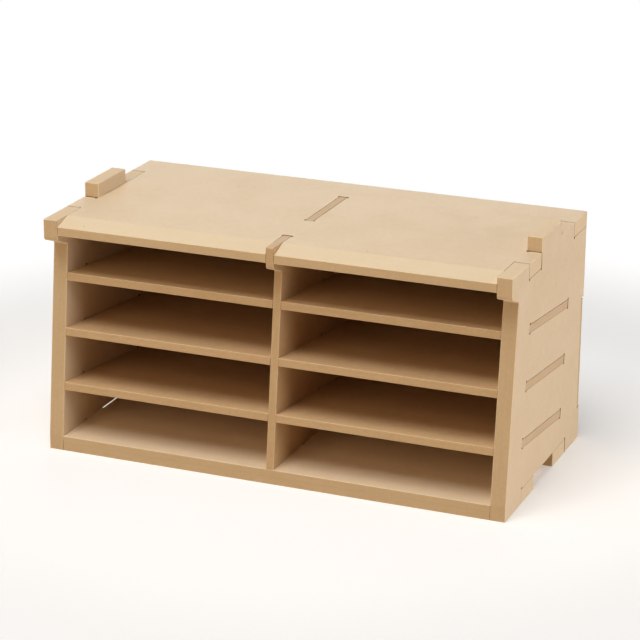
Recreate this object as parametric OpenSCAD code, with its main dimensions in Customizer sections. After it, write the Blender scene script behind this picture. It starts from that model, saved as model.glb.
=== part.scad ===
// Stackable open-shelf organizer made of routed fibreboard.
// Nine flat boards lock together with tongues, slots and half-laps, with no hardware.
// X runs across the width, Y from front to back and Z up, with the origin under the middle of the floor.
// In the profiles, the first coordinate is the distance back from the front plane.

/* [Overall] */
// Width over both sides
width = 300; // [220:1:420]
// Depth from the front plane to the rear edges of the sides
depth = 149; // [136:1:180]
// Height of the top face of the roof
height = 150; // [142:1:180]

/* [Boards] */
// Thickness of the sides, the roof and the floor
outer_t = 9.5; // [7:0.5:12]
// Thickness of the divider and the shelves
inner_t = 5; // [3:0.5:7]
// Thickness of the back
back_t = 3; // [2:0.5:5]

/* [Front] */
// Angle at which the front edges lean back and the shelves slope down to the rear
lean = 6; // [4:0.5:8]
// Height of the upright face at the tip of each nose
nose_face = 13; // [11:0.5:16]
// Slope of the underside of each nose
nose_slope = 20; // [5:1:30]
// Radius of the lower front corner of each nose
nose_round = 2.5; // [0.5:0.25:3]
// Radius where the underside of each nose meets the front edge
nose_fillet = 2; // [0.5:0.25:3]
// How far the bevel of the roof reaches back from its front edge
bevel_run = 13; // [6:0.5:22]
// How much lower the bevel is at the front edge of the roof
bevel_drop = 4; // [1:0.5:5]

/* [Roof joints] */
// Length of the flush land on top of each side, behind its nose
nose_land = 31; // [24:0.5:38]
// Length of the flush land on top of each side, behind its stacking tab
rear_land = 28; // [16:0.5:34]
// Length of the front slot in the roof, which is open to the front
front_slot_len = 27; // [24:0.5:40]
// Distance of the rear slot in the roof from the front plane
rear_slot_start = 61; // [50:0.5:66]
// Length of the rear slot in the roof
rear_slot_len = 56.5; // [30:0.5:60]

/* [Floor joints] */
// Length of the tongue at each end of the floor
floor_tongue_len = 89; // [66:0.5:100]
// Distance of the divider's slot in the floor from the front plane
floor_slot_start = 46; // [30:0.5:60]
// Length of the divider's slot in the floor
floor_slot_len = 57; // [30:0.5:70]

/* [Stacking] */
// Length of the tab on top of each side
tab_len = 38; // [24:0.5:46]
// Height of the tab above the roof
tab_h = 9; // [4:0.5:9]
// Clearance round a tab in the notch of the floor above it
stack_gap = 0.5; // [0.25:0.25:2]

/* [Shelves] */
// Clear height of the lowest row, along the front edge
low_row = 30; // [24:0.5:32]
// Distance from one shelf to the next, along the front edge
shelf_pitch = 35; // [24:0.5:36]
// Distance of each shelf tenon from the front edge
tenon_inset = 25; // [16:0.5:36]
// Length of each shelf tenon
tenon_len = 78.5; // [40:0.5:84]
// Depth of the half-lap slot in each shelf, from its front edge
lap_len = 68; // [40:0.5:90]

/* [Back] */
// How far the back sits in from the rear edges of the sides
back_recess = 2; // [0:0.25:4]
// Height of the lower end of the back's tongues
back_tongue_z = 22; // [14:0.5:40]
// Length of the back's tongues
back_tongue_len = 72; // [40:0.5:90]

/* [Fit] */
// Clearance across a slot, over the thickness of the board in it
slot_gap = 0.15; // [0.05:0.05:0.4]
// Clearance at the far end of a tongue or tenon
end_gap = 1; // [0.1:0.1:1.5]
// Clearance behind each flush land of the sides
land_gap = 0.4; // [0.1:0.1:0.8]
// Diameter of the router bit, which leaves the relief in each inside corner
bit_d = 2; // [1:0.25:3]

/* [Hidden] */

$fn = 48;
// Steps in each rounded corner of an outline
corner_steps = 8;
// How far a cut runs past the face that it opens
past = 1;

half_w = width / 2;
half_in = half_w - outer_t;
inner_slot = inner_t + slot_gap;
roof_under = height - outer_t;

// The stacking tab and the floor's tongue are centred on the depth
tab_front = (depth - tab_len) / 2;
tab_rear = tab_front + tab_len;
rear_land_end = tab_rear + rear_land;
floor_tongue_front = (depth - floor_tongue_len) / 2;
floor_tongue_rear = floor_tongue_front + floor_tongue_len;

back_front = depth - back_recess - back_t;
// Rear limit of the divider and the shelves
inner_rear = back_front - end_gap;

// The nose's underside starts at its tip and ends where it meets the leaning front edge
nose_tip_z = height - nose_face;
nose_factor = tan(lean) * tan(nose_slope);
nose_root_z = (nose_tip_z + outer_t * nose_factor) / (1 + nose_factor);
nose_root_d = (nose_root_z - outer_t) * tan(lean);

board_colour = [0.83, 0.72, 0.57];
inner_colour = [0.76, 0.62, 0.45];

// Unit vector along v
function unit(v) = v / norm(v);

// Points of an arc of radius r that rounds the corner between its two neighbours
function corner_arc(before, corner, after, r) =
    let (
        u = unit(before - corner),
        v = unit(after - corner),
        half = acos(u * v) / 2,
        centre = corner + unit(u + v) * r / sin(half),
        first = corner + u * r / tan(half) - centre,
        last = corner + v * r / tan(half) - centre,
        start = atan2(first.y, first.x),
        turn = (atan2(last.y, last.x) - start + 540) % 360 - 180
    )
    [for (i = [0:corner_steps]) centre + r * [
        cos(start + turn * i / corner_steps),
        sin(start + turn * i / corner_steps)
    ]];

// Outline through corners of the form [x, y, radius], where a radius of 0 leaves a corner sharp
function outline(corners) =
    let (
        n = len(corners),
        points = [for (c = corners) [c.x, c.y]]
    )
    [for (i = [0:n - 1]) each
        corners[i][2] == 0
            ? [points[i]]
            : corner_arc(points[(i + n - 1) % n], points[i], points[(i + 1) % n], corners[i][2])
    ];

// Leaning front edge and nose, from the floor up, shared by the sides and the divider
function front_corners() = [
    [0, outer_t, 0],
    [nose_root_d, nose_root_z, nose_fillet],
    [0, nose_tip_z, nose_round],
    [0, height, 0],
];

// Square tab or tenon on an edge at one height, up or down to another height
function step_up(from, to, edge, end) = [
    [from, edge, 0],
    [from, end, 0],
    [to, end, 0],
    [to, edge, 0],
];

// Distance from the front plane, and height, of a shelf's lower front edge
function shelf_front(row) =
    [0, outer_t] + (low_row + row * shelf_pitch) * [sin(lean), cos(lean)];

// Depth of a shelf along its slope, up to the back
function shelf_depth(row) =
    (inner_rear - shelf_front(row).x - inner_t * sin(lean)) / cos(lean);

// Flat cut with its closed end at x = 0, and the bit's reliefs in the two corners there.
// The reliefs reach past the sides of the cut, or past its closed end where deeper is true.
module pocket(length, across, deeper = false) {
    bit_r = bit_d / 2;
    square([length, across]);
    for (relief = deeper ? [[0, bit_r], [0, across - bit_r]] : [[bit_r, 0], [bit_r, across]])
        translate(relief) circle(d = bit_d);
}

// Flat cut that is closed at both ends
module slot(length, across) {
    pocket(length, across);
    translate([length, across]) rotate(180) pocket(length, across);
}

// A profile in depth and height, made into a board of thickness t that starts at x
module upright_board(x, t) {
    translate([x, -depth / 2, 0])
        rotate([90, 0, 90])
            linear_extrude(t) children();
}

// A plan in width and depth, made into a board or a cut of height t that starts at z
module level_board(z, t) {
    translate([0, -depth / 2, z]) linear_extrude(t) children();
}

// Both ends of a plan, the left one mirrored
module both_ends() {
    for (side = [0, 1]) mirror([side, 0]) children();
}

// Cut at one end of a plan, from the inner face of a side outwards
module end_cut(from, to, inset = 0) {
    translate([half_in - inset, from]) pocket(outer_t + inset + past, to - from);
}

// Slots in an upright board for the three shelves: through the sides, or open to the rear of the divider
module shelf_cuts(start) {
    for (row = [0:2])
        translate(shelf_front(row)) rotate(-lean) translate([start, 0]) children();
}

module side_profile() {
    difference() {
        polygon(outline(concat(
            [[0, 0, 0]],
            front_corners(),
            step_up(tab_front, tab_rear, height, height + tab_h),
            [[depth, height, 0], [depth, 0, 0]]
        )));
        // Seats for the roof's front and rear tongues
        translate([tab_front, roof_under])
            rotate(90) pocket(outer_t + past, tab_front - nose_land, deeper = true);
        translate([depth + 2 * bit_d, roof_under])
            rotate(90) pocket(outer_t + past, depth + 2 * bit_d - rear_land_end, deeper = true);
        // Seat for the floor's tongue
        translate([floor_tongue_front, outer_t])
            rotate(-90) pocket(outer_t + past, floor_tongue_len + end_gap, deeper = true);
        // Slots for the shelf tenons
        shelf_cuts(tenon_inset) slot(tenon_len + end_gap, inner_slot);
        // Notch for the back's tongue
        translate([back_front, back_tongue_z])
            pocket(back_t + back_recess + past, back_tongue_len + end_gap);
    }
}

module side(x) {
    color(board_colour) upright_board(x, outer_t) side_profile();
}

module left_side() {
    side(-half_w);
}

module right_side() {
    side(half_in);
}

module roof() {
    color(board_colour) difference() {
        upright_board(-half_w, width) polygon([
            [0, roof_under],
            [0, height - bevel_drop],
            [bevel_run, height],
            [depth, height],
            [depth, roof_under],
        ]);
        level_board(roof_under - past, outer_t + 2 * past) {
            both_ends() {
                // Room for the nose land, then for the tab and the land behind it
                end_cut(-bit_d, nose_land + land_gap);
                end_cut(tab_front - end_gap, rear_land_end + land_gap);
            }
            // Front slot for the divider, open to the front
            translate([-inner_slot / 2, front_slot_len + end_gap])
                rotate(-90) pocket(front_slot_len + end_gap + past, inner_slot);
            // Rear slot for the divider
            translate([inner_slot / 2, rear_slot_start])
                rotate(90) slot(rear_slot_len + end_gap, inner_slot);
        }
    }
}

module floor() {
    color(board_colour) difference() {
        level_board(0, outer_t) translate([-half_w, 0]) square([width, depth]);
        level_board(-past, outer_t + 2 * past) {
            both_ends() {
                // Room for the feet of the sides, in front of and behind the tongue
                end_cut(-bit_d, floor_tongue_front);
                end_cut(floor_tongue_rear, depth + bit_d);
                // Notch that sits over the tab of a module below
                end_cut(tab_front - stack_gap, tab_rear + stack_gap, stack_gap);
            }
            translate([inner_slot / 2, floor_slot_start])
                rotate(90) slot(floor_slot_len + end_gap, inner_slot);
        }
    }
}

module divider_profile() {
    difference() {
        polygon(outline(concat(
            front_corners(),
            [[front_slot_len, height, 0], [front_slot_len, roof_under, 0]],
            step_up(rear_slot_start, rear_slot_start + rear_slot_len, roof_under, height),
            [[inner_rear, roof_under, 0], [inner_rear, outer_t, 0]],
            step_up(floor_slot_start + floor_slot_len, floor_slot_start, outer_t, 0)
        )));
        shelf_cuts(lap_len) pocket(depth, inner_slot);
    }
}

module divider() {
    color(inner_colour) upright_board(-inner_t / 2, inner_t) divider_profile();
}

// Outline of a shelf, flat, from its front edge back along the slope
module shelf_plan(row) {
    difference() {
        union() {
            translate([-half_in, 0]) square([2 * half_in, shelf_depth(row)]);
            translate([-half_w, tenon_inset]) square([width, tenon_len]);
        }
        // Half-lap over the divider, open to the front
        translate([-inner_slot / 2, lap_len])
            rotate(-90) pocket(lap_len + past, inner_slot);
    }
}

module shelf(row) {
    at = shelf_front(row);
    color(inner_colour)
        translate([0, at.x - depth / 2, at.y])
            rotate([-lean, 0, 0])
                linear_extrude(inner_t) shelf_plan(row);
}

module upper_shelf() {
    shelf(2);
}

module middle_shelf() {
    shelf(1);
}

module lower_shelf() {
    shelf(0);
}

module back() {
    color(inner_colour)
        translate([0, back_front - depth / 2, 0])
            rotate([90, 0, 0]) mirror([0, 0, 1])
                linear_extrude(back_t) {
                    translate([-half_in, outer_t]) square([2 * half_in, roof_under - outer_t]);
                    translate([-half_w, back_tongue_z]) square([width, back_tongue_len]);
                }
}

left_side();
right_side();
roof();
floor();
divider();
upper_shelf();
middle_shelf();
lower_shelf();
back();
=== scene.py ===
"""Dressed model of a stackable open-shelf organizer, routed from raw fibreboard.

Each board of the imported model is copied, its edges are eased, and its sanded faces, routed edges and
joints get procedural fibreboard finishes. A pale studio and a camera complete the scene. Lengths are in
metres and angles in radians, except where degrees or millimetres are named.
"""

import logging
import math
from dataclasses import dataclass, field
from enum import Enum
from typing import Any, Union

import bmesh
import bpy
from mathutils import Matrix, Vector
from mathutils.bvhtree import BVHTree


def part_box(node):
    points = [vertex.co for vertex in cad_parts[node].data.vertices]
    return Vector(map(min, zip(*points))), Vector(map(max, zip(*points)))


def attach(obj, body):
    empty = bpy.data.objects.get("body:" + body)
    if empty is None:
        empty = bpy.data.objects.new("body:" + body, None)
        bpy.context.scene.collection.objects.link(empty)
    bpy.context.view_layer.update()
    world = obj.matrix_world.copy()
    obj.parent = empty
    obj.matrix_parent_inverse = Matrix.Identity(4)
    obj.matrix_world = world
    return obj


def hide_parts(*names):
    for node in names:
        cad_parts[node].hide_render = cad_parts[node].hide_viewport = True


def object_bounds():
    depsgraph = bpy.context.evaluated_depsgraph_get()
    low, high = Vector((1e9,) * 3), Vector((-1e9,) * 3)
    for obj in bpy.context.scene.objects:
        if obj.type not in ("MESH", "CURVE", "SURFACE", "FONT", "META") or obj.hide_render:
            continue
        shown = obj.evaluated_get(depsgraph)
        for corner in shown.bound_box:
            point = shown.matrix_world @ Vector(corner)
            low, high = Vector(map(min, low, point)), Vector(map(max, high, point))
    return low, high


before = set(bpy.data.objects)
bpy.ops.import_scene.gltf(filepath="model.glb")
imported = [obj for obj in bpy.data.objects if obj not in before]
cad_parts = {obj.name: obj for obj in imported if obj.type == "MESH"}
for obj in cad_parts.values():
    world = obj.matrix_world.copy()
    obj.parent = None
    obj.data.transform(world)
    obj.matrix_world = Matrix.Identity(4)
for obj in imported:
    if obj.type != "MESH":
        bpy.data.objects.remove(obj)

LOG = logging.getLogger("organizer")
CAD_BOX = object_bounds()
BODY = "root"
# Joint lines round one board get the dark painted shade, except the lengthwise ones along one side
SHADED_LINE_BOARD = "roof"
FAINT_LINE_SIDE = "left_side"

Colour = tuple[float, float, float]
Feed = Union[bpy.types.NodeSocket, float, Colour]
WHITE: Colour = (1.0, 1.0, 1.0)
BLACK: Colour = (0.0, 0.0, 0.0)


def linear(red: int, green: int, blue: int) -> Colour:
    """Turn a screen colour of 0 to 255 into the linear values that shaders use, along the sRGB curve.

    Args:
        red: Red part, from 0 to 255.
        green: Green part, from 0 to 255.
        blue: Blue part, from 0 to 255.

    Returns:
        The three linear parts, from 0 to 1.
    """

    def part(value: int) -> float:
        """Give the linear value of one part."""
        share = value / 255
        return share / 12.92 if share <= 0.04045 else ((share + 0.055) / 1.055) ** 2.4

    return part(red), part(green), part(blue)


class Surface(Enum):
    """Kinds of surface on a board, numbered as its material slots are."""

    SKIN = 0
    CUT = 1
    FRONT = 2
    SLOPE = 3
    ARRIS = 4
    SEAM = 5
    GAP = 6
    HAIRLINE = 7


class Wiring:
    """Adds nodes to one shader tree and joins them."""

    # Share and colour sockets of the mix node, which has others for values and vectors
    MIX_INPUTS = (0, 6, 7)
    MIX_OUTPUT = 2

    def __init__(self, tree: bpy.types.NodeTree) -> None:
        """Take over a tree and empty it.

        Args:
            tree: Tree of a material, a world or a node group.
        """
        self.tree = tree
        self.tree.nodes.clear()

    def add(self, kind: str, **settings: Any) -> bpy.types.Node:
        """Add one node.

        Args:
            kind: Blender's name for the node type.
            **settings: Properties to set on the node.

        Returns:
            The new node.
        """
        node = self.tree.nodes.new(kind)
        for name, value in settings.items():
            setattr(node, name, value)
        return node

    def feed(self, socket: bpy.types.NodeSocket, value: Feed) -> None:
        """Give an input a link or a plain value.

        Args:
            socket: Input to feed.
            value: Output socket to link from, a number or a colour.
        """
        if isinstance(value, bpy.types.NodeSocket):
            self.tree.links.new(value, socket)
        elif isinstance(value, tuple) and socket.type == "RGBA":
            socket.default_value = (*value, 1.0)
        else:
            socket.default_value = value

    def maths(self, operation: str, first: Feed, second: Feed = 0.0) -> bpy.types.NodeSocket:
        """Work out one value from two.

        Args:
            operation: Blender's name for the operation.
            first: First value.
            second: Second value.

        Returns:
            Output with the result.
        """
        node = self.add("ShaderNodeMath", operation=operation)
        self.feed(node.inputs[0], first)
        self.feed(node.inputs[1], second)
        return node.outputs[0]

    def weighted(self, *parts: tuple[Feed, float]) -> bpy.types.NodeSocket:
        """Add up values, each times its weight.

        Args:
            *parts: Pairs of a value and its weight.

        Returns:
            Output with the sum.
        """
        total = None
        for value, weight in parts:
            part = self.maths("MULTIPLY", value, weight)
            total = part if total is None else self.maths("ADD", total, part)
        return total

    def remap(self, value: Feed, low: float, high: float, to_low: float = 0.0,
              to_high: float = 1.0) -> bpy.types.NodeSocket:
        """Move a value from one range to another, smoothly and without leaving it.

        Args:
            value: Value to move.
            low: Start of the first range.
            high: End of the first range.
            to_low: Start of the second range.
            to_high: End of the second range.

        Returns:
            Output with the moved value.
        """
        node = self.add("ShaderNodeMapRange", interpolation_type="SMOOTHSTEP")
        for socket, part in zip(node.inputs, (value, low, high, to_low, to_high)):
            self.feed(socket, part)
        return node.outputs[0]

    def mix(self, share: Feed, first: Feed, second: Feed) -> bpy.types.NodeSocket:
        """Mix two colours.

        Args:
            share: How much of the second colour shows.
            first: First colour.
            second: Second colour.

        Returns:
            Output with the mixed colour.
        """
        node = self.add("ShaderNodeMix", data_type="RGBA")
        for place, value in zip(self.MIX_INPUTS, (share, first, second)):
            self.feed(node.inputs[place], value)
        return node.outputs[self.MIX_OUTPUT]

    def stretched(self, vector: Feed, scale: tuple[float, float, float],
                  turn: float = 0.0) -> bpy.types.NodeSocket:
        """Turn a position in the plane of the sheet and scale its three directions.

        Args:
            vector: Position on the sheet.
            scale: Scale along the three directions.
            turn: Turn in the plane of the sheet, in degrees.

        Returns:
            Output with the new position.
        """
        node = self.add("ShaderNodeMapping", vector_type="TEXTURE")
        self.feed(node.inputs["Vector"], vector)
        node.inputs["Rotation"].default_value = (0.0, 0.0, math.radians(turn))
        node.inputs["Scale"].default_value = tuple(1 / part for part in scale)
        return node.outputs[0]

    def noise(self, vector: Feed, scale: Feed, detail: float = 2.0,
              distortion: float = 0.0) -> bpy.types.NodeSocket:
        """Add an even noise around 0.5.

        Args:
            vector: Position to read.
            scale: Lumps in a metre.
            detail: Octaves of finer lumps.
            distortion: How far the lumps are drawn out.

        Returns:
            Output with the noise value.
        """
        node = self.add("ShaderNodeTexNoise", noise_dimensions="3D")
        self.feed(node.inputs["Vector"], vector)
        self.feed(node.inputs["Scale"], scale)
        node.inputs["Detail"].default_value = detail
        node.inputs["Distortion"].default_value = distortion
        return node.outputs[0]


class FibreGroups:
    """Node groups that the fibreboard finishes share."""

    # Slow tone: lumps in a metre, how much finer the small lumps are, weights and the range kept
    DRIFT_SCALE = 3.0
    LUMPS_FINER = 6.0
    TONE_WEIGHTS = (0.35, 0.35, 0.30)
    TONE_RANGE = (0.34, 0.66)
    # Strands: turns in degrees, shape, the range kept, how much finer the dust is, and weights of both
    STRAND_TURNS = (17.0, 74.0, 131.0)
    STRAND_SHAPE = (1.0, 0.55, 0.9)
    STRAND_RANGE = (0.48, 0.78)
    DUST_FINER = 2.6
    DUST_WEIGHTS = (0.6, 0.4)
    # Flecks: shape, turn in degrees, radii as shares of a cell, and the soft rim as shares of a radius
    FLECK_SHAPE = (1.0, 0.55, 1.0)
    FLECK_TURN = 38.0
    FLECK_RADII = (0.03, 0.085)
    FLECK_RIM = (0.5, 1.0)
    # Router marks: lumps in a metre along, beside and across the sheet, weights and the range kept
    LAYER_SCALE = (45.0, 45.0, 900.0)
    FUZZ_SCALE = (650.0, 650.0, 1300.0)
    RIPPLE_SCALE = (800.0, 800.0, 25.0)
    STREAK_WEIGHTS = (0.3, 0.7)
    ROUGH_WEIGHTS = (0.5, 0.5)
    NOISE_RANGE = (0.3, 0.7)
    # Pass line: lumps in a metre, place and half width as shares of the thickness, and depth
    WANDER_SCALE = 18.0
    PASS_PLACE = (0.46, 0.54)
    PASS_WIDTH = (0.012, 0.045)
    PASS_DEPTH = 0.35

    def __init__(self) -> None:
        """Build each group once."""
        self.fibres = self._pressed_fibres()
        self.flecks = self._flecks()
        self.router = self._router_marks()

    @staticmethod
    def _start(name: str, inputs: dict[str, tuple[str, float]],
               outputs: list[str]) -> tuple[Wiring, dict[str, Any], bpy.types.Node]:
        """Make an empty group with named sockets.

        Args:
            name: Name of the group.
            inputs: Type and first value of each input, by name.
            outputs: Names of the value outputs.

        Returns:
            The group's wiring, its inputs by name and its output node.
        """
        tree = bpy.data.node_groups.new(name, "ShaderNodeTree")
        for label, (kind, value) in inputs.items():
            socket = tree.interface.new_socket(label, in_out="INPUT", socket_type=kind)
            if kind == "NodeSocketFloat":
                socket.default_value = value
        for label in outputs:
            tree.interface.new_socket(label, in_out="OUTPUT", socket_type="NodeSocketFloat")
        wiring = Wiring(tree)
        entry = wiring.add("NodeGroupInput")
        end = wiring.add("NodeGroupOutput")
        return wiring, {label: entry.outputs[label] for label in inputs}, end

    def _pressed_fibres(self) -> bpy.types.NodeTree:
        """Build the felted look of pressed wood fibres.

        Returns:
            Group with a slow Tone, a fine Fibre pattern and a Height.
        """
        wiring, given, end = self._start(
            "pressed fibres",
            {"Sheet": ("NodeSocketVector", 0.0), "Cloud Scale": ("NodeSocketFloat", 40.0),
             "Fibre Scale": ("NodeSocketFloat", 900.0)},
            ["Tone", "Fibre", "Height"])
        sheet = given["Sheet"]
        drift = wiring.noise(sheet, self.DRIFT_SCALE, detail=1.0)
        cloud = wiring.noise(sheet, given["Cloud Scale"], detail=3.0, distortion=0.4)
        finer = wiring.maths("MULTIPLY", given["Cloud Scale"], self.LUMPS_FINER)
        lumps = wiring.noise(sheet, finer, detail=2.0, distortion=0.8)
        tone = wiring.weighted(*zip((drift, cloud, lumps), self.TONE_WEIGHTS))
        wiring.feed(end.inputs["Tone"], wiring.remap(tone, *self.TONE_RANGE))

        # Three sets of short strands that cross at odd angles, as felted fibres do
        strands = None
        for turn in self.STRAND_TURNS:
            drawn = wiring.stretched(sheet, self.STRAND_SHAPE, turn)
            layer = wiring.noise(drawn, given["Fibre Scale"], detail=1.0, distortion=0.5)
            strands = layer if strands is None else wiring.maths("MAXIMUM", strands, layer)
        fibre = wiring.remap(strands, *self.STRAND_RANGE)
        wiring.feed(end.inputs["Fibre"], fibre)
        finest = wiring.maths("MULTIPLY", given["Fibre Scale"], self.DUST_FINER)
        dust = wiring.noise(sheet, finest, detail=1.0)
        wiring.feed(end.inputs["Height"], wiring.weighted(*zip((fibre, dust), self.DUST_WEIGHTS)))
        return wiring.tree

    def _flecks(self) -> bpy.types.NodeTree:
        """Build the sparse dark specks of bark and coarse fibre.

        Returns:
            Group with a Mask of the specks.
        """
        wiring, given, end = self._start(
            "bark flecks",
            {"Sheet": ("NodeSocketVector", 0.0), "Scale": ("NodeSocketFloat", 150.0),
             "Share": ("NodeSocketFloat", 0.2)},
            ["Mask"])
        drawn = wiring.stretched(given["Sheet"], self.FLECK_SHAPE, self.FLECK_TURN)
        cells = wiring.add("ShaderNodeTexVoronoi", feature="F1", distance="EUCLIDEAN")
        wiring.feed(cells.inputs["Vector"], drawn)
        wiring.feed(cells.inputs["Scale"], given["Scale"])
        draw = wiring.add("ShaderNodeSeparateColor")
        wiring.feed(draw.inputs[0], cells.outputs["Color"])
        chosen = wiring.maths("LESS_THAN", draw.outputs[0], given["Share"])
        radius = wiring.remap(draw.outputs[1], 0.0, 1.0, *self.FLECK_RADII)
        near = wiring.maths("DIVIDE", cells.outputs["Distance"], radius)
        spot = wiring.remap(near, *self.FLECK_RIM, 1.0, 0.0)
        wiring.feed(end.inputs["Mask"], wiring.maths("MULTIPLY", spot, chosen))
        return wiring.tree

    def _router_marks(self) -> bpy.types.NodeTree:
        """Build the streaks and the pass line that a router leaves on a cut edge.

        Returns:
            Group with a Streak value, a Pass Line mask and a Height.
        """
        wiring, given, end = self._start(
            "router marks",
            {"Sheet": ("NodeSocketVector", 0.0), "Across": ("NodeSocketFloat", 0.5)},
            ["Streak", "Pass Line", "Height"])
        sheet = given["Sheet"]
        layers = wiring.noise(wiring.stretched(sheet, self.LAYER_SCALE), 1.0, detail=2.0)
        fuzz = wiring.noise(wiring.stretched(sheet, self.FUZZ_SCALE), 1.0, detail=2.0, distortion=0.6)
        ripple = wiring.noise(wiring.stretched(sheet, self.RIPPLE_SCALE), 1.0, detail=1.0)
        streak = wiring.weighted(*zip((layers, fuzz), self.STREAK_WEIGHTS))
        wiring.feed(end.inputs["Streak"], wiring.remap(streak, *self.NOISE_RANGE))

        # The cutter goes round twice, and the two passes meet near the middle of the thickness
        wander = wiring.noise(sheet, self.WANDER_SCALE, detail=1.0)
        middle = wiring.remap(wander, *self.NOISE_RANGE, *self.PASS_PLACE)
        off = wiring.maths("ABSOLUTE", wiring.maths("SUBTRACT", given["Across"], middle))
        line = wiring.remap(off, *self.PASS_WIDTH, 1.0, 0.0)
        wiring.feed(end.inputs["Pass Line"], line)
        rough = wiring.weighted(*zip((fuzz, ripple), self.ROUGH_WEIGHTS))
        height = wiring.maths("SUBTRACT", rough, wiring.maths("MULTIPLY", line, self.PASS_DEPTH))
        wiring.feed(end.inputs["Height"], height)
        return wiring.tree


@dataclass(frozen=True)
class SandedFinish:
    """Pressed and sanded face of a sheet of fibreboard.

    Attributes:
        name: Name of the material.
        pale: Lightest colour of the fibres.
        deep: Darkest colour of the fibres.
        fleck: Colour of the bark flecks.
        matt: Range of the roughness.
        specular: Strength of the sheen.
        relief: Height of the surface's grain.
        shade_weights: Weights of the two patterns that lead from pale to deep.
        fleck_share: Share of the cells that hold a fleck.
        fleck_strength: How much of a fleck's colour shows.
        cloud_scale: Slow lumps in a metre.
        fibre_scale: Fibres in a metre.
    """

    name: str
    pale: Colour
    deep: Colour
    fleck: Colour = linear(138, 98, 62)
    matt: tuple[float, float] = (0.56, 0.68)
    specular: float = 0.28
    relief: float = 0.00003
    shade_weights: tuple[float, float] = (0.72, 0.28)
    fleck_share: float = 0.16
    fleck_strength: float = 0.55
    cloud_scale: float = 38.0
    fibre_scale: float = 850.0

    def material(self, groups: FibreGroups) -> bpy.types.Material:
        """Build the material.

        Args:
            groups: Shared node groups.

        Returns:
            The finished material.
        """
        made = bpy.data.materials.new(self.name)
        made.use_nodes = True
        wiring = Wiring(made.node_tree)
        sheet = wiring.add("ShaderNodeAttribute", attribute_name="sheet").outputs["Vector"]
        fibres = self._fibres(wiring, groups, sheet)
        colour, height, dull = self._look(wiring, groups, sheet, fibres)
        flecks = wiring.add("ShaderNodeGroup", node_tree=groups.flecks)
        wiring.feed(flecks.inputs["Sheet"], sheet)
        flecks.inputs["Share"].default_value = self.fleck_share
        shown = wiring.maths("MULTIPLY", flecks.outputs["Mask"], self.fleck_strength)
        bump = wiring.add("ShaderNodeBump")
        bump.inputs["Strength"].default_value = 1.0
        bump.inputs["Distance"].default_value = self.relief
        wiring.feed(bump.inputs["Height"], height)
        shader = wiring.add("ShaderNodeBsdfPrincipled")
        shader.inputs["Specular IOR Level"].default_value = self.specular
        wiring.feed(shader.inputs["Base Color"], wiring.mix(shown, colour, self.fleck))
        wiring.feed(shader.inputs["Roughness"], wiring.remap(dull, 0.0, 1.0, *self.matt))
        wiring.feed(shader.inputs["Normal"], bump.outputs[0])
        end = wiring.add("ShaderNodeOutputMaterial")
        wiring.feed(end.inputs["Surface"], shader.outputs[0])
        return made

    def _fibres(self, wiring: Wiring, groups: FibreGroups, sheet: Feed) -> bpy.types.Node:
        """Place the group of pressed fibres with this finish's scales.

        Args:
            wiring: Wiring of the material.
            groups: Shared node groups.
            sheet: Position on the sheet.

        Returns:
            The group's node.
        """
        node = wiring.add("ShaderNodeGroup", node_tree=groups.fibres)
        wiring.feed(node.inputs["Sheet"], sheet)
        node.inputs["Cloud Scale"].default_value = self.cloud_scale
        node.inputs["Fibre Scale"].default_value = self.fibre_scale
        return node

    def _look(self, wiring: Wiring, groups: FibreGroups, sheet: Feed,
              fibres: bpy.types.Node) -> tuple[Feed, Feed, Feed]:
        """Work out the colour, height and dullness of the surface.

        Args:
            wiring: Wiring of the material.
            groups: Shared node groups, not used here.
            sheet: Position on the sheet, not used here.
            fibres: Node with the pressed fibres.

        Returns:
            Colour, height and dullness.
        """
        patterns = (fibres.outputs["Tone"], fibres.outputs["Fibre"])
        shade = wiring.weighted(*zip(patterns, self.shade_weights))
        colour = wiring.mix(shade, self.pale, self.deep)
        return colour, fibres.outputs["Height"], shade


@dataclass(frozen=True)
class RoutedFinish(SandedFinish):
    """Edge of a sheet of fibreboard, left as the router cut it.

    Attributes:
        line: Colour of the pass line.
        line_share: How much of the pass line's colour shows.
        fibre_height: Weight of the fibres in the surface's grain.
    """

    matt: tuple[float, float] = (0.72, 0.86)
    relief: float = 0.00006
    shade_weights: tuple[float, float] = (0.6, 0.4)
    fleck_share: float = 0.3
    line: Colour = linear(176, 140, 98)
    line_share: float = 0.08
    fibre_height: float = 0.4

    def _look(self, wiring: Wiring, groups: FibreGroups, sheet: Feed,
              fibres: bpy.types.Node) -> tuple[Feed, Feed, Feed]:
        """Work out the colour, height and dullness, with the router's marks.

        Args:
            wiring: Wiring of the material.
            groups: Shared node groups.
            sheet: Position on the sheet.
            fibres: Node with the pressed fibres.

        Returns:
            Colour, height and dullness.
        """
        across = wiring.add("ShaderNodeAttribute", attribute_name="across").outputs["Fac"]
        marks = wiring.add("ShaderNodeGroup", node_tree=groups.router)
        wiring.feed(marks.inputs["Sheet"], sheet)
        wiring.feed(marks.inputs["Across"], across)
        patterns = (marks.outputs["Streak"], fibres.outputs["Tone"])
        shade = wiring.weighted(*zip(patterns, self.shade_weights))
        colour = wiring.mix(shade, self.pale, self.deep)
        faint = wiring.maths("MULTIPLY", marks.outputs["Pass Line"], self.line_share)
        colour = wiring.mix(faint, colour, self.line)
        grain = wiring.maths("MULTIPLY", fibres.outputs["Height"], self.fibre_height)
        height = wiring.maths("ADD", marks.outputs["Height"], grain)
        return colour, height, shade


@dataclass(frozen=True)
class RubbedFinish(RoutedFinish):
    """Cut edge that sanding has rubbed smooth."""

    relief: float = 0.00003
    line_share: float = 0.0


@dataclass(frozen=True)
class JointFinish(RubbedFinish):
    """Edge or wall in a joint, darkened with painted shade."""

    matt: tuple[float, float] = (0.84, 0.94)
    cloud_scale: float = 70.0


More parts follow.
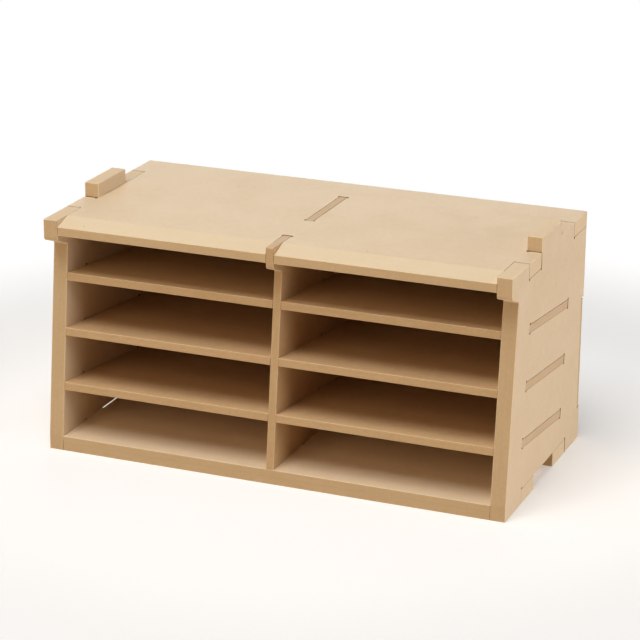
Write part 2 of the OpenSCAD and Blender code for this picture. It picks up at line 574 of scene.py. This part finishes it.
@dataclass(frozen=True)
class Stock:
    """One thickness of fibreboard, with the finishes of its surfaces, which are named as in Surface."""

    slot: str
    skin: SandedFinish
    cut: RoutedFinish
    front: RoutedFinish
    slope: RoutedFinish
    arris: RubbedFinish
    # The joint finishes are painted shade: patchy along the joint lines, dark on the walls of the wider
    # gaps, and faint in the tight ones
    seam: JointFinish = JointFinish("joint line", linear(172, 138, 101), linear(100, 69, 42))
    gap: JointFinish = JointFinish("joint gap", linear(108, 75, 46), linear(86, 57, 34), cloud_scale=38.0)
    hairline: JointFinish = JointFinish("tight joint line", linear(213, 186, 151), linear(156, 122, 87))

    def materials(self, groups: FibreGroups) -> list[bpy.types.Material]:
        """Build the materials in the order of Surface.

        Args:
            groups: Shared node groups.

        Returns:
            One material for each kind of surface.
        """
        finishes = [getattr(self, surface.name.lower()) for surface in Surface]
        made = {finish: finish.material(groups) for finish in dict.fromkeys(finishes)}
        return [made[finish] for finish in finishes]


# The inner boards and the back are browner than the outer boards: partly their own thinner stock, partly
# painted shade for the inside of the rows
INNER_CUT = RoutedFinish("inner cut", linear(212, 185, 151), linear(204, 175, 140), line_share=0.05)
BACK_CUT = RoutedFinish("back cut", linear(208, 179, 144), linear(198, 167, 131), line_share=0.05)
OUTER_STOCK = Stock(
    slot="outer_board",
    skin=SandedFinish("outer skin", linear(225, 202, 170), linear(219, 194, 161)),
    cut=RoutedFinish("outer cut", linear(229, 205, 171), linear(224, 198, 163), line_share=0.05),
    # The front finish is a darker copy of the cut finish: painted shade for the weaker light on cut faces
    # that look forward
    front=RoutedFinish("outer front", linear(208, 182, 144), linear(199, 170, 131)),
    slope=RubbedFinish("outer slope", linear(230, 210, 179), linear(226, 205, 173),
                       matt=(0.62, 0.74), fleck_share=0.12),
    # The arris finish is paler than the faces beside it: a painted highlight along the rounded edges
    arris=RubbedFinish("outer arris", linear(232, 209, 174), linear(225, 200, 163)),
)
INNER_STOCK = Stock(
    slot="inner_board",
    skin=SandedFinish("inner skin", linear(211, 177, 134), linear(201, 165, 121),
                      cloud_scale=46.0, fibre_scale=950.0),
    cut=INNER_CUT,
    # A darker copy of the inner cut finish: painted shade for the weaker light on faces that look forward
    front=RoutedFinish("inner front", linear(202, 172, 132), linear(192, 160, 118)),
    slope=INNER_CUT,
    # Paler than the inner cut: a painted highlight along the rounded edges
    arris=RubbedFinish("inner arris", linear(222, 192, 152), linear(212, 179, 138)),
)
BACK_STOCK = Stock(
    slot="back_board",
    skin=SandedFinish("back skin", linear(206, 171, 128), linear(196, 158, 115),
                      cloud_scale=52.0, fibre_scale=1000.0),
    cut=BACK_CUT,
    front=BACK_CUT,
    slope=BACK_CUT,
    # Paler than the back cut: a painted highlight along the rounded edges
    arris=RubbedFinish("back arris", linear(214, 183, 141), linear(202, 169, 126)),
)


@dataclass(frozen=True)
class Neighbours:
    """Faces of all the boards but one, with the node that each belongs to."""

    tree: BVHTree
    owners: list[str]

    @classmethod
    def of(cls, node: str) -> "Neighbours":
        """Collect the faces of every board but one.

        Args:
            node: Node to leave out.

        Returns:
            The other nodes' faces.
        """
        points: list[Vector] = []
        faces: list[tuple[int, ...]] = []
        owners: list[str] = []
        for name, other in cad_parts.items():
            if name == node:
                continue
            start = len(points)
            points.extend(vertex.co.copy() for vertex in other.data.vertices)
            faces.extend(tuple(start + corner for corner in face.vertices) for face in other.data.polygons)
            owners.extend([name] * len(other.data.polygons))
        return cls(BVHTree.FromPolygons(points, faces), owners)

    def nearest(self, point: Vector, reach: float) -> str:
        """Name the board that is nearest to a point.

        Args:
            point: Point to look from.
            reach: Largest distance that counts.

        Returns:
            The node's name, which is empty if no board is within reach.
        """
        face = self.tree.find_nearest(point, reach)[2]
        return "" if face is None else self.owners[face]


@dataclass
class Board:
    """One board of the organizer, copied from its CAD node.

    Attributes:
        node: CAD node that the board is copied from.
        stock: Fibreboard that it is cut from.
        patch: Number of its place on the sheet.
        weld: Distance within which points fall together.
        eased: Width of the rounding on open edges.
        crisp: Width of the bevel on edges in the joints.
        shortest: Length of the shortest edge in a joint that gets a bevel.
        reach: Widest gap of a joint.
        snug: Widest gap of a tight joint.
        slim: Length of the longest facet of a small round relief.
        relief_facets: Number of a relief's facets that become one.
        upright: Cosine above which an edge goes straight through the board.
        flat: Cosine above which a face is one of the broad faces.
        sloping: Cosine above which a direction counts as close to another.
        level: Largest angle between triangles of one plane.
        slight: Smallest angle between two facets of a curve.
        sharp: Smallest angle of an edge that is eased.
        facet: Largest area of a facet of a curve.
        edge_shares: Places along an edge that tell whether it lies in a joint.
        rim_shares: Places along a face's edges that tell whether it lies in a joint.
        sheet_step: Step on the sheet from one board's place to the next.
    """

    node: str
    stock: Stock
    patch: int
    weld: float = 0.000001
    eased: float = 0.00033
    crisp: float = 0.00016
    shortest: float = 0.0005
    reach: float = 0.0013
    snug: float = 0.0005
    slim: float = 0.0002
    relief_facets: int = 4
    upright: float = 0.999999
    flat: float = 0.9995
    sloping: float = 0.9
    level: float = math.radians(0.3)
    slight: float = math.radians(1)
    sharp: float = math.radians(40)
    facet: float = 0.000008
    edge_shares: tuple[float, ...] = (0.1, 0.5, 0.9)
    rim_shares: tuple[float, ...] = (0.0, 0.25, 0.5, 0.75, 1.0)
    sheet_step: Vector = field(default_factory=lambda: Vector((0.71, 0.43, 0.0)))

    def build(self, others: Neighbours, materials: list[bpy.types.Material]) -> bpy.types.Object:
        """Copy the node, ease its edges, finish it and put it on the frame.

        Args:
            others: Faces of all the other boards.
            materials: Materials in the order of Surface.

        Returns:
            The finished piece.
        """
        bm = bmesh.new()
        bm.from_mesh(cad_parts[self.node].data)
        bmesh.ops.remove_doubles(bm, verts=bm.verts, dist=self.weld)
        facing = self._facing(bm)
        self._coarsen_reliefs(bm, facing)
        self._join_faces(bm)
        self._part_at_roof(bm)
        self._ease(bm, others)
        self._mark_gaps(bm, facing, others)
        self._sort_surfaces(bm, facing)
        self._lay_on_sheet(bm, facing)
        mesh = bpy.data.meshes.new(f"{self.node}_board")
        bm.to_mesh(mesh)
        bm.free()
        for material in materials:
            mesh.materials.append(material)
        piece = bpy.data.objects.new(mesh.name, mesh)
        bpy.context.scene.collection.objects.link(piece)
        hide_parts(self.node)
        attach(piece, BODY)
        return piece

    @staticmethod
    def _facing(bm: bmesh.types.BMesh, digits: int = 5) -> Vector:
        """Find the direction that the board's broad faces look in.

        Args:
            bm: Mesh to read.
            digits: Decimals to which the normals of one plane are the same.

        Returns:
            Normal of the plane with the largest area.
        """
        areas: dict[tuple[float, ...], float] = {}
        for face in bm.faces:
            way = tuple(round(part, digits) for part in face.normal)
            areas[way] = areas.get(way, 0.0) + face.calc_area()
        return Vector(max(areas, key=areas.__getitem__)).normalized()

    def _join_faces(self, bm: bmesh.types.BMesh) -> None:
        """Join the triangles that lie in one plane.

        Args:
            bm: Mesh to change.
        """
        bmesh.ops.dissolve_limit(bm, angle_limit=self.level, verts=bm.verts, edges=bm.edges,
                                 use_dissolve_boundaries=False, delimit=set())

    def _coarsen_reliefs(self, bm: bmesh.types.BMesh, facing: Vector) -> None:
        """Weld the small round reliefs in the joints to a few facets, so that bevels fit between them.

        Args:
            bm: Mesh to change.
            facing: Direction that the board's broad faces look in.
        """
        moves: dict[bmesh.types.BMVert, bmesh.types.BMVert] = {}
        for row in self._relief_rows(bm, facing):
            facets = len(row) - 1
            parts = max(1, round(facets / self.relief_facets))
            kept = [round(facets * part / parts) for part in range(parts + 1)]
            for place, upright in enumerate(row):
                target = row[min(kept, key=lambda other: abs(other - place))]
                if target is upright:
                    continue
                for point in upright.verts:
                    moves[point] = min(target.verts, key=lambda other: (other.co - point.co).length)
        bmesh.ops.weld_verts(bm, targetmap=moves)

    def _relief_rows(self, bm: bmesh.types.BMesh, facing: Vector) -> list[list[bmesh.types.BMEdge]]:
        """Find the rows of narrow facets that make the small round reliefs.

        Args:
            bm: Mesh to read.
            facing: Direction that the board's broad faces look in.

        Returns:
            For each relief, the edges across the board's thickness, in order.
        """
        uprights: dict[bmesh.types.BMVert, bmesh.types.BMEdge] = {}
        for edge in bm.edges:
            start, end = edge.verts
            if abs((end.co - start.co).normalized().dot(facing)) > self.upright:
                uprights[start] = uprights[end] = edge
        beside: dict[bmesh.types.BMEdge, list[bmesh.types.BMEdge]] = {}
        for edge in bm.edges:
            if edge.calc_length() > self.slim or edge.calc_face_angle(0) < self.sharp:
                continue
            pair = [uprights[point] for point in edge.verts if point in uprights]
            if len(pair) == 2 and pair[1] not in beside.get(pair[0], []):
                beside.setdefault(pair[0], []).append(pair[1])
                beside.setdefault(pair[1], []).append(pair[0])
        rows = []
        starts = [edge for edge, others in beside.items() if len(others) == 1]
        taken: set[bmesh.types.BMEdge] = set()
        for start in starts:
            row = []
            step = start if start not in taken else None
            while step is not None:
                row.append(step)
                taken.add(step)
                step = next((edge for edge in beside[step] if edge not in taken), None)
            if row:
                rows.append(row)
        return rows

    def _part_at_roof(self, bm: bmesh.types.BMesh) -> None:
        """Split edges where they rise out of the roof, because they are eased only above it.

        Args:
            bm: Mesh to change.
        """
        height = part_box("roof")[1][2]
        bmesh.ops.bisect_plane(bm, geom=[*bm.verts, *bm.edges, *bm.faces], dist=self.weld,
                               plane_co=(0.0, 0.0, height), plane_no=(0.0, 0.0, 1.0))

    def _ease(self, bm: bmesh.types.BMesh, others: Neighbours) -> None:
        """Round the open edges as sanding does, and leave those in the joints crisp.

        Args:
            bm: Mesh to change.
            others: Faces of all the other boards.
        """
        sharp = [edge for edge in bm.edges if edge.calc_face_angle(0) > self.sharp]
        free = [edge for edge in sharp if not self._in_joint(edge, others)]
        done = bmesh.ops.bevel(bm, geom=free, offset=self.eased, offset_type="OFFSET", segments=3,
                               profile=0.5, affect="EDGES", clamp_overlap=True, material=-1)
        for face in done["faces"]:
            face.material_index = Surface.ARRIS.value
        rounded = {edge for face in done["faces"] for edge in face.edges}
        tight = [edge for edge in bm.edges if edge.calc_face_angle(0) > self.sharp
                 and edge.calc_length() > self.shortest and edge not in rounded]
        done = bmesh.ops.bevel(bm, geom=tight, offset=self.crisp, offset_type="OFFSET", segments=1,
                               profile=0.5, affect="EDGES", clamp_overlap=False, material=-1)
        for face in done["faces"]:
            face.material_index = self._joint_line(face, others).value
        # Bevels of two widths meet in points that fall together
        bmesh.ops.remove_doubles(bm, verts=bm.verts, dist=self.weld)

    def _mark_gaps(self, bm: bmesh.types.BMesh, facing: Vector, others: Neighbours) -> None:
        """Tell the cut faces inside the joints, tight or open, from those that show.

        Args:
            bm: Mesh to change.
            facing: Direction that the board's broad faces look in.
            others: Faces of all the other boards.
        """
        for face in bm.faces:
            plain = face.material_index == Surface.SKIN.value and abs(face.normal.dot(facing)) < self.flat
            if not plain or not self._in_gap(face, others, self.reach):
                continue
            # A face in a wider gap gets the dark painted shade of the gap finish, and one in a tight gap
            # the faint line
            snug = self._in_gap(face, others, self.snug)
            face.material_index = Surface.HAIRLINE.value if snug else Surface.GAP.value

    def _joint_line(self, face: bmesh.types.BMFace, others: Neighbours) -> Surface:
        """Choose how a crisp edge in a joint shows.

        Args:
            face: Narrow face along the edge.
            others: Faces of all the other boards.

        Returns:
            The line with the dark painted shade, or else the faint one.
        """
        start, end = (vertex.co for vertex in max(face.edges, key=lambda edge: edge.calc_length()).verts)
        along = (end - start).normalized()
        middle = face.calc_center_median()
        if abs(along.z) > self.sloping:
            # Upright lines get the dark painted shade, except in the outer faces, where they get the faint
            # one
            shows = abs(middle.x) < CAD_BOX[1][0] - self.reach
        else:
            # Other lines round that one board get the dark painted shade, except the lengthwise ones along
            # that one side
            pair = (self.node, others.nearest(middle, self.reach))
            shows = SHADED_LINE_BOARD in pair and (FAINT_LINE_SIDE not in pair or abs(along.y) < self.sloping)
        return Surface.SEAM if shows else Surface.HAIRLINE

    def _in_joint(self, edge: bmesh.types.BMEdge, others: Neighbours) -> bool:
        """Say whether an edge lies against another board.

        Args:
            edge: Edge to test.
            others: Faces of all the other boards.

        Returns:
            True if most of the edge is within reach of another board.
        """
        start, end = (vertex.co for vertex in edge.verts)
        near = [others.nearest(start.lerp(end, share), self.reach) != "" for share in self.edge_shares]
        return sum(near) > len(near) / 2

    def _in_gap(self, face: bmesh.types.BMFace, others: Neighbours, reach: float) -> bool:
        """Say whether a whole face lies against another board.

        Args:
            face: Face to test.
            others: Faces of all the other boards.
            reach: Largest distance that counts.

        Returns:
            True if the face's middle and all of its rim are within reach of another board.
        """
        points = [face.calc_center_median()]
        for edge in face.edges:
            start, end = (vertex.co for vertex in edge.verts)
            points.extend(start.lerp(end, share) for share in self.rim_shares)
        return all(others.nearest(point, reach) != "" for point in points)

    def _sort_surfaces(self, bm: bmesh.types.BMesh, facing: Vector) -> None:
        """Give each face its kind of surface, and shade the rounded ones smooth.

        Args:
            bm: Mesh to change.
            facing: Direction that the board's broad faces look in.
        """
        for face in bm.faces:
            if face.material_index == Surface.ARRIS.value:
                face.smooth = True
                continue
            face.smooth = self._on_curve(face)
            if face.material_index in (Surface.SEAM.value, Surface.GAP.value, Surface.HAIRLINE.value):
                continue
            lie = abs(face.normal.dot(facing))
            if lie > self.flat:
                face.material_index = Surface.SKIN.value
            elif lie > self.sloping:
                face.material_index = Surface.SLOPE.value
            # Cut faces that look forward get the darker front finish, painted shade for the weaker light
            # from the front
            elif face.normal.y < -self.sloping:
                face.material_index = Surface.FRONT.value
            else:
                face.material_index = Surface.CUT.value

    def _on_curve(self, face: bmesh.types.BMFace) -> bool:
        """Say whether a face is one facet of a rounded corner.

        Args:
            face: Face to test.

        Returns:
            True if the face is small and turns a little to a neighbour.
        """
        turns = [edge.calc_face_angle(0) for edge in face.edges]
        return face.calc_area() < self.facet and any(self.slight < turn < self.sharp for turn in turns)

    def _lay_on_sheet(self, bm: bmesh.types.BMesh, facing: Vector) -> None:
        """Store where each point lay on the sheet that the board was cut from.

        Args:
            bm: Mesh to change.
            facing: Direction that the board's broad faces look in.
        """
        along = Vector((0, 1, 0)) if abs(facing.x) > self.sloping else Vector((1, 0, 0))
        beside = facing.cross(along).normalized()
        sheet = bm.verts.layers.float_vector.new("sheet")
        across = bm.verts.layers.float.new("across")
        depths = [vertex.co.dot(facing) for vertex in bm.verts]
        low = min(depths)
        thickness = max(depths) - low
        corner = self.sheet_step * self.patch
        for vertex, depth in zip(bm.verts, depths):
            place = Vector((vertex.co.dot(along), vertex.co.dot(beside), depth - low))
            vertex[sheet] = place + corner
            vertex[across] = (depth - low) / thickness


@dataclass
class SubAssembly:
    """Boards of one stock that go together."""

    title: str
    stock: Stock
    nodes: tuple[str, ...]
    first_patch: int

    def build(self, groups: FibreGroups) -> None:
        """Build and dress the boards.

        Args:
            groups: Shared node groups.
        """
        materials = self.stock.materials(groups)
        for number, node in enumerate(self.nodes):
            board = Board(node, self.stock, self.first_patch + number)
            piece = board.build(Neighbours.of(node), materials)
            LOG.info("%s: %s, %d faces", self.title, piece.name, len(piece.data.polygons))


@dataclass(frozen=True)
class Softbox:
    """One large soft lamp of the studio."""

    name: str
    place: Vector
    target: Vector
    size: float
    power: float
    tint: Colour = WHITE

    def build(self) -> None:
        """Hang the lamp and aim it."""
        data = bpy.data.lights.new(self.name, "AREA")
        data.shape = "SQUARE"
        data.size = self.size
        data.energy = self.power
        data.color = self.tint
        lamp = bpy.data.objects.new(self.name, data)
        bpy.context.scene.collection.objects.link(lamp)
        lamp.location = self.place
        lamp.rotation_euler = (self.target - self.place).to_track_quat("-Z", "Y").to_euler()


@dataclass
class Studio:
    """Pale floor, soft light and the camera.

    Attributes:
        floor_size: Length of the floor's sides.
        floor_drop: How far the floor lies below the boards.
        floor_shown: Colour of the floor that the camera sees.
        floor_glow: Glow of the floor that the camera sees near the object.
        fade: Distances between which the floor turns white.
        floor_bounce: Colour of the light that the floor throws back.
        sky: Strength of the light from all round.
        sky_tint: Colour of the light from all round.
        centre: Point that the lamps are aimed at.
        front_tint: Colour of the lamp in front.
        eye: Place of the camera.
        azimuth: Turn of the camera about the object, in degrees.
        elevation: Angle that the camera looks down at, in degrees.
        roll: Tilt of the camera, in degrees.
        lens: Focal length, in millimetres.
        sensor: Width of the sensor, in millimetres.
        clip: Nearest and farthest distance that the camera sees.
    """

    floor_size: float = 8.0
    floor_drop: float = 0.0001
    floor_shown: Colour = (0.78, 0.78, 0.78)
    floor_glow: float = 0.28
    fade: tuple[float, float] = (0.2, 0.6)
    floor_bounce: Colour = (0.48, 0.37, 0.27)
    sky: float = 0.08
    sky_tint: Colour = (1.0, 0.86, 0.72)
    centre: Vector = field(default_factory=lambda: Vector((0.0, 0.0, 0.07)))
    front_tint: Colour = (1.0, 0.80, 0.58)
    eye: Vector = field(default_factory=lambda: Vector((0.54869, -1.35424, 0.58255)))
    azimuth: float = 21.978
    elevation: float = 18.913
    roll: float = 0.417
    lens: float = 139.51
    sensor: float = 36.0
    clip: tuple[float, float] = (0.05, 30.0)

    def build(self) -> None:
        """Set up the whole studio."""
        bpy.context.scene.view_settings.view_transform = "Standard"
        self._floor()
        self._sky()
        for lamp in self._softboxes():
            lamp.build()
            LOG.info("studio: %s", lamp.name)
        self._camera()

    @staticmethod
    def _seen(wiring: Wiring) -> bpy.types.NodeSocket:
        """Tell the rays that show the backdrop from those that light the object.

        Args:
            wiring: Wiring of the floor or the world.

        Returns:
            Output that is 1 for camera, glossy and transmission rays.
        """
        path = wiring.add("ShaderNodeLightPath")
        shown = wiring.maths("MAXIMUM", path.outputs["Is Camera Ray"], path.outputs["Is Glossy Ray"])
        return wiring.maths("MAXIMUM", shown, path.outputs["Is Transmission Ray"])

    def _floor(self) -> None:
        """Lay a pale floor that keeps the object's shadow."""
        bm = bmesh.new()
        bmesh.ops.create_grid(bm, x_segments=1, y_segments=1, size=self.floor_size / 2)
        mesh = bpy.data.meshes.new("studio_floor")
        bm.to_mesh(mesh)
        bm.free()
        floor = bpy.data.objects.new(mesh.name, mesh)
        # The floor lies just clear of the boards and throws no shade, so that the lamp below lights them
        floor.location.z = -self.floor_drop
        floor.visible_shadow = False
        bpy.context.scene.collection.objects.link(floor)
        mesh.materials.append(self._floor_paint())

    def _floor_paint(self) -> bpy.types.Material:
        """Build the floor's material, which looks pale and throws warm light back at the object.

        Returns:
            The finished material.
        """
        made = bpy.data.materials.new("studio floor")
        made.use_nodes = True
        wiring = Wiring(made.node_tree)
        seen = self._seen(wiring)
        # Away from the object the floor that the camera sees turns to an even white
        place = wiring.add("ShaderNodeTexCoord").outputs["Object"]
        far = wiring.add("ShaderNodeVectorMath", operation="LENGTH")
        wiring.feed(far.inputs[0], place)
        white = wiring.remap(far.outputs["Value"], *self.fade)
        shown = wiring.mix(white, self.floor_shown, BLACK)
        paint = wiring.add("ShaderNodeBsdfDiffuse")
        wiring.feed(paint.inputs["Color"], wiring.mix(seen, self.floor_bounce, shown))
        glow = wiring.add("ShaderNodeEmission")
        strength = wiring.remap(white, 0.0, 1.0, self.floor_glow, 1.0)
        wiring.feed(glow.inputs["Strength"], wiring.maths("MULTIPLY", seen, strength))
        both = wiring.add("ShaderNodeAddShader")
        wiring.feed(both.inputs[0], paint.outputs[0])
        wiring.feed(both.inputs[1], glow.outputs[0])
        # Seen from below, the floor lets the camera through to the underside
        side = wiring.add("ShaderNodeNewGeometry")
        clear = wiring.add("ShaderNodeBsdfTransparent")
        choice = wiring.add("ShaderNodeMixShader")
        wiring.feed(choice.inputs[0], side.outputs["Backfacing"])
        wiring.feed(choice.inputs[1], both.outputs[0])
        wiring.feed(choice.inputs[2], clear.outputs[0])
        end = wiring.add("ShaderNodeOutputMaterial")
        wiring.feed(end.inputs["Surface"], choice.outputs[0])
        return made

    def _sky(self) -> None:
        """Fill the world with even light, and show it as white."""
        world = bpy.data.worlds.new("studio sky")
        world.use_nodes = True
        bpy.context.scene.world = world
        wiring = Wiring(world.node_tree)
        light = wiring.add("ShaderNodeBackground")
        seen = self._seen(wiring)
        wiring.feed(light.inputs["Color"], wiring.mix(seen, self.sky_tint, WHITE))
        strength = wiring.remap(seen, 0.0, 1.0, self.sky, 1.0)
        wiring.feed(light.inputs["Strength"], strength)
        end = wiring.add("ShaderNodeOutputWorld")
        wiring.feed(end.inputs["Surface"], light.outputs[0])

    def _softboxes(self) -> list[Softbox]:
        """List the lamps.

        Returns:
            The lamp overhead, the fills all round, and one for the underside.
        """
        middle = self.centre
        return [
            Softbox("top softbox", Vector((-0.1, -0.8, 2.0)), middle, size=1.4, power=32.5),
            Softbox("right softbox", Vector((2.2, 0.0, 0.2)), middle, size=0.9, power=26.5),
            Softbox("front softbox", Vector((-0.4, -2.1, 0.95)), middle, size=1.4, power=15.6,
                    tint=self.front_tint),
            Softbox("rear softbox", Vector((-0.6, 2.1, 0.3)), middle, size=1.4, power=14.0),
            Softbox("left softbox", Vector((-2.2, -0.2, 0.3)), middle, size=0.9, power=9.0),
            Softbox("lower softbox", Vector((0.0, 0.0, -1.8)), middle, size=1.4, power=16.0),
        ]

    def _camera(self) -> None:
        """Place the camera at the photograph's viewing angle."""
        turn, lift, roll = (math.radians(angle) for angle in (self.azimuth, self.elevation, self.roll))
        back = Vector((math.sin(turn) * math.cos(lift), -math.cos(turn) * math.cos(lift), math.sin(lift)))
        level = Vector((0, 0, 1)).cross(back).normalized()
        above = back.cross(level)
        right = math.cos(roll) * level + math.sin(roll) * above
        up = math.cos(roll) * above - math.sin(roll) * level
        data = bpy.data.cameras.new("camera")
        data.lens = self.lens
        data.sensor_width = self.sensor
        data.clip_start, data.clip_end = self.clip
        camera = bpy.data.objects.new("camera", data)
        bpy.context.scene.collection.objects.link(camera)
        turned = Matrix((right, up, back)).transposed().to_4x4()
        camera.matrix_world = Matrix.Translation(self.eye) @ turned
        bpy.context.scene.camera = camera


def main() -> None:
    """Build the organizer board by board, then the studio."""
    logging.basicConfig(level=logging.INFO, format="%(name)s: %(message)s")
    groups = FibreGroups()
    assemblies = [
        SubAssembly("carcass", OUTER_STOCK, ("left_side", "right_side", "roof", "floor"), first_patch=0),
        SubAssembly("shelving", INNER_STOCK, ("divider", "upper_shelf", "middle_shelf", "lower_shelf"),
                    first_patch=4),
        SubAssembly("rear panel", BACK_STOCK, ("back",), first_patch=8),
    ]
    for assembly in assemblies:
        assembly.build(groups)
    Studio().build()


if __name__ == "__main__":
    main()
